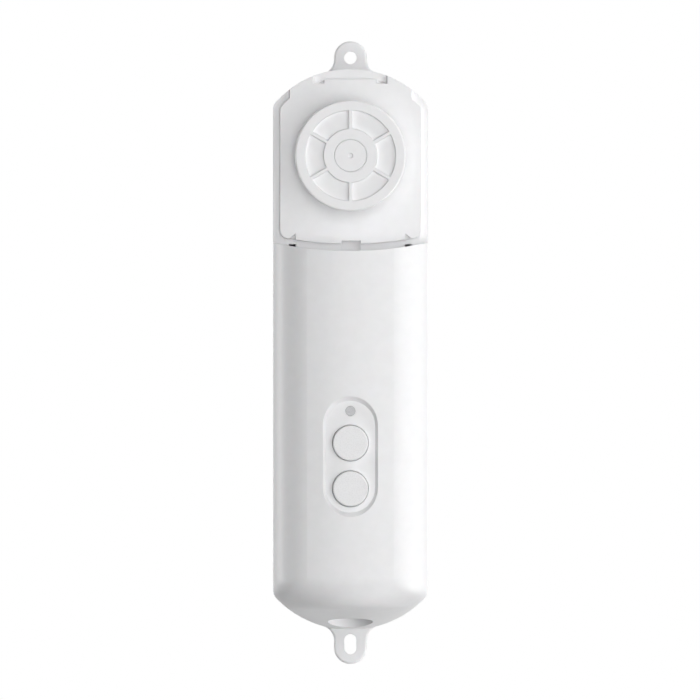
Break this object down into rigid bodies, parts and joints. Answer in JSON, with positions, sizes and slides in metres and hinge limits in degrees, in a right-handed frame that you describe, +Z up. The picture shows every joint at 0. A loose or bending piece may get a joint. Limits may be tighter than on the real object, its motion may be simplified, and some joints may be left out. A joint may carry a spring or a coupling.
{
  "type": "roller blind robot",
  "caption": "Slim wall-held roller blind drive with a bead-chain wheel on its head, round push buttons, an indicator light and a charging port.",
  "frame": {"origin": "wall plane, on the centre line at half the height of the body without its lugs", "axes": "+X to the viewer's right, +Y into the wall, +Z up; the front looks along -Y"},
  "size_m": [0.0462, 0.0424, 0.1866],
  "materials": {
    "white_abs": "moulded, satin",
    "white_abs_plate": "moulded, satin",
    "zinc_screws": "zinc plated",
    "wheel_acetal": "moulded, satin",
    "wheel_cap": "moulded, satin",
    "shaft_steel": "ground",
    "spring_steel": "blackened",
    "sintered_bronze": "sintered",
    "gear_steel": "sintered",
    "pinion_brass": "cut",
    "gearhead_zinc": "die cast",
    "gearhead_steel": "turned",
    "motor_steel": "drawn, plated",
    "black_nylon": "moulded",
    "galvanised_sheet": "galvanised sheet",
    "cell_sleeve": "shrunk sleeve",
    "cradle_plastic": "moulded",
    "nickel_strip": "rolled",
    "circuit_board": "solder resist",
    "black_epoxy": "moulded packages",
    "shield_can": "tinned",
    "led_lens": "clear resin",
    "light_pipe": "clear acrylic",
    "button_abs": "moulded, satin",
    "plunger_nylon": "moulded",
    "socket_steel": "drawn shell"
  },
  "bodies": {
    "housing": {"front_housing": "white_abs", "back_plate": "white_abs_plate", "housing_screws": "zinc_screws", "front_bush": "sintered_bronze", "rear_bush": "sintered_bronze", "gearhead_plate": "gearhead_zinc", "gearhead_case": "gearhead_steel", "motor_can": "motor_steel", "motor_end_cap": "black_nylon", "motor_terminals": "pinion_brass", "motor_bracket": "galvanised_sheet", "bracket_screws": "zinc_screws", "gearhead_screws": "zinc_screws", "battery_cell_left": "cell_sleeve", "battery_cell_right": "cell_sleeve", "battery_cradle": "cradle_plastic", "nickel_strips": "nickel_strip", "main_board": "circuit_board", "board_parts": "black_epoxy", "board_screws": "zinc_screws", "radio_module": "shield_can", "indicator_led": "led_lens", "light_pipe": "light_pipe", "switch_body_up": "black_nylon", "switch_body_down": "black_nylon", "charging_socket": "socket_steel", "socket_tongue": "black_nylon", "charge_board": "circuit_board"},
    "drive": {"drive_wheel": "wheel_acetal", "wheel_cap": "wheel_cap", "wheel_screw": "zinc_screws", "output_shaft": "shaft_steel", "shaft_clip": "spring_steel", "bevel_gear": "gear_steel"},
    "motor_output": {"bevel_pinion": "pinion_brass", "pinion_shaft": "shaft_steel"},
    "upper_button": {"button_up": "button_abs", "switch_plunger_up": "plunger_nylon"},
    "lower_button": {"button_down": "button_abs", "switch_plunger_down": "plunger_nylon"}
  },
  "joints": [
    {"name": "wheel_spin", "type": "hinge", "parent": "housing", "child": "drive", "pos_m": [0, -0.0136, 0.0579], "axis": [0, 1, 0], "continuous": true},
    {"name": "pinion_spin", "type": "hinge", "parent": "housing", "child": "motor_output", "pos_m": [0, -0.0136, 0.0459], "axis": [0, 0, 1], "continuous": true},
    {"name": "upper_button_press", "type": "slide", "parent": "housing", "child": "upper_button", "axis": [0, 1, 0], "range_m": [0, 0.0005], "stiffness_N_per_m": 1000, "springref_m": -0.0005},
    {"name": "lower_button_press", "type": "slide", "parent": "housing", "child": "lower_button", "axis": [0, 1, 0], "range_m": [0, 0.0005], "stiffness_N_per_m": 1000, "springref_m": -0.0005}
  ],
  "couplings": [
    {"joint": "pinion_spin", "follows": "wheel_spin", "ratio": -2}
  ]
}
